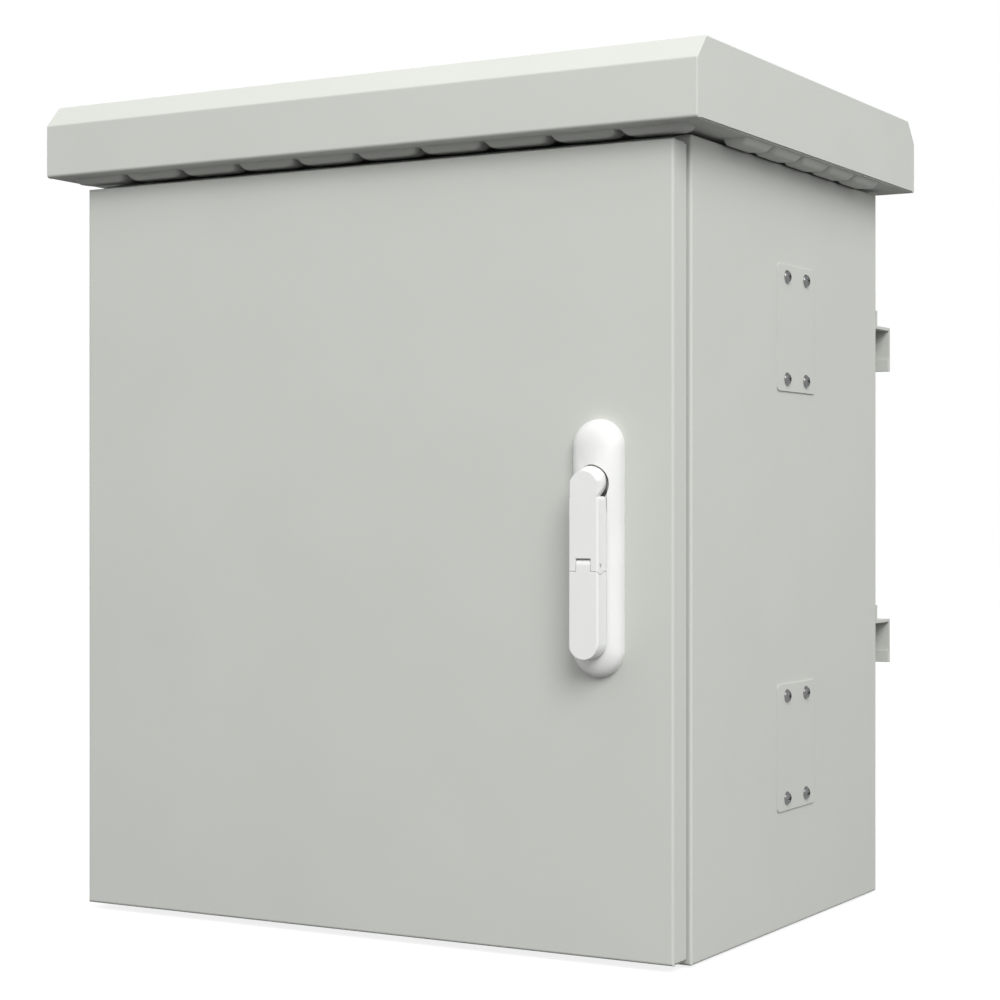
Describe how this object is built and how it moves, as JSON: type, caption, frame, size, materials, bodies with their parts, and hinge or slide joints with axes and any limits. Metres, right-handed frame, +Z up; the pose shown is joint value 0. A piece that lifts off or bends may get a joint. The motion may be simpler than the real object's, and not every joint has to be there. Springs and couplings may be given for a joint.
{
  "type": "pole-mounted rack cabinet",
  "caption": "Outdoor sheet-steel rack cabinet with hinged door, swing handle with rod lock, louvred rain hood and rear rails for clamping to a pole.",
  "frame": {"origin": "centre of the bounding box at floor level", "axes": "+X right as seen from the front, +Y to the back, +Z up"},
  "size_m": [0.656, 0.5096, 0.7355],
  "materials": {
    "powder_coat": "light grey fine-textured powder coat",
    "handle_white": "satin near-white paint",
    "zinc_plated": "zinc-plated",
    "black_rubber": "matt"
  },
  "bodies": {
    "cabinet": {"body_shell": "powder_coat", "frame_stiles": "powder_coat", "frame_bars": "powder_coat", "hood": "powder_coat", "soffit": "powder_coat", "hood_spacers": "powder_coat", "hood_bolts": "zinc_plated", "hood_nuts": "zinc_plated", "gland_plate": "powder_coat", "gland_gasket": "black_rubber", "gland_nuts": "zinc_plated", "cable_grommets": "black_rubber", "pole_rail_upper": "powder_coat", "pole_rail_lower": "powder_coat", "pole_rail_bolts": "zinc_plated", "pole_rail_nuts": "zinc_plated", "side_plate_right_upper": "powder_coat", "side_plate_right_lower": "powder_coat", "side_plate_left_upper": "powder_coat", "side_plate_left_lower": "powder_coat", "plate_screws": "zinc_plated", "plate_nuts": "zinc_plated", "carrier_right_upper": "zinc_plated", "carrier_right_lower": "zinc_plated", "carrier_left_upper": "zinc_plated", "carrier_left_lower": "zinc_plated", "rack_rail_front_right": "zinc_plated", "rack_rail_front_left": "zinc_plated", "rack_rail_rear_right": "zinc_plated", "rack_rail_rear_left": "zinc_plated", "rack_bolts": "zinc_plated", "rack_nuts": "zinc_plated", "earth_stud": "zinc_plated", "earth_nut": "zinc_plated", "hinge_arms": "zinc_plated", "hinge_pins": "zinc_plated"},
    "door": {"door_panel": "powder_coat", "door_gasket": "black_rubber", "hinge_leaves": "zinc_plated", "door_stiffener": "powder_coat", "handle_base": "handle_white", "handle_gasket": "black_rubber", "handle_screws": "zinc_plated", "rod_guides": "zinc_plated"},
    "rotor": {"handle_rotor": "zinc_plated", "lock_cam": "zinc_plated", "cam_screw": "zinc_plated", "lever_pin": "zinc_plated"},
    "lever": {"handle_lever": "handle_white", "lock_cylinder": "zinc_plated", "flap_pin": "zinc_plated"},
    "flap": {"cylinder_flap": "handle_white"},
    "upper_rod": {"lock_rod_upper": "zinc_plated"},
    "lower_rod": {"lock_rod_lower": "zinc_plated"}
  },
  "joints": [
    {"name": "door_hinge", "type": "hinge", "parent": "cabinet", "child": "door", "pos_m": [-0.29, -0.2152, 0.33125], "axis": [0, 0, -1], "range_deg": [0, 110]},
    {"name": "handle_swivel", "type": "hinge", "parent": "door", "child": "rotor", "pos_m": [0.232, -0.2252, 0.3855], "axis": [0, 1, 0], "range_deg": [0, 90]},
    {"name": "handle_tilt", "type": "hinge", "parent": "rotor", "child": "lever", "pos_m": [0.232, -0.2392, 0.3855], "axis": [-1, 0, 0], "range_deg": [0, 20]},
    {"name": "cover_flap", "type": "hinge", "parent": "lever", "child": "flap", "pos_m": [0.232, -0.2497, 0.3205], "axis": [-1, 0, 0], "range_deg": [0, 80]},
    {"name": "upper_rod_slide", "type": "slide", "parent": "door", "child": "upper_rod", "axis": [0, 0, -1], "range_m": [0, 0.018]},
    {"name": "lower_rod_slide", "type": "slide", "parent": "door", "child": "lower_rod", "axis": [0, 0, 1], "range_m": [0, 0.018]}
  ],
  "couplings": [
    {"joint": "upper_rod_slide", "follows": "handle_swivel", "m_per_rad": 0.01145},
    {"joint": "lower_rod_slide", "follows": "handle_swivel", "m_per_rad": 0.01145}
  ]
}
